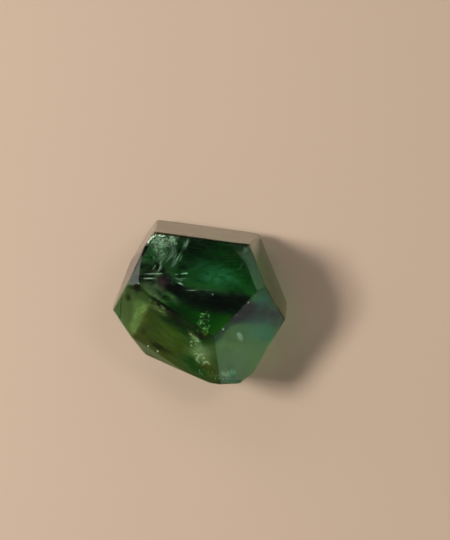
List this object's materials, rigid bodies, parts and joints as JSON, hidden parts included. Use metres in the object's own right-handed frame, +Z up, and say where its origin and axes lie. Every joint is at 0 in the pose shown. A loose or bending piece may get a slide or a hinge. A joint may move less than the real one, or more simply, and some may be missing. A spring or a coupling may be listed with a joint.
{
  "type": "rainbow fluorite freeform",
  "caption": "Loose hand-held chunk of see-through green and purple banded fluorite, ground to flat polished facets with softly rounded edges; lies on a flat base.",
  "frame": {"origin": "middle of the bounding box at the level of the surface that the ground base lies on", "axes": "+Z up, out of the broad table facet on top; +X to the viewer's right and +Y away from the viewer, with the ridge between the two broad slopes at the front (-Y)"},
  "size_m": [0.0426, 0.0432, 0.0272],
  "materials": {
    "fluorite": "polished clear crystal, deep green with purple-black colour zones and whitish veils inside"
  },
  "bodies": {
    "root": {"fluorite_freeform": "fluorite"}
  },
  "joints": []
}
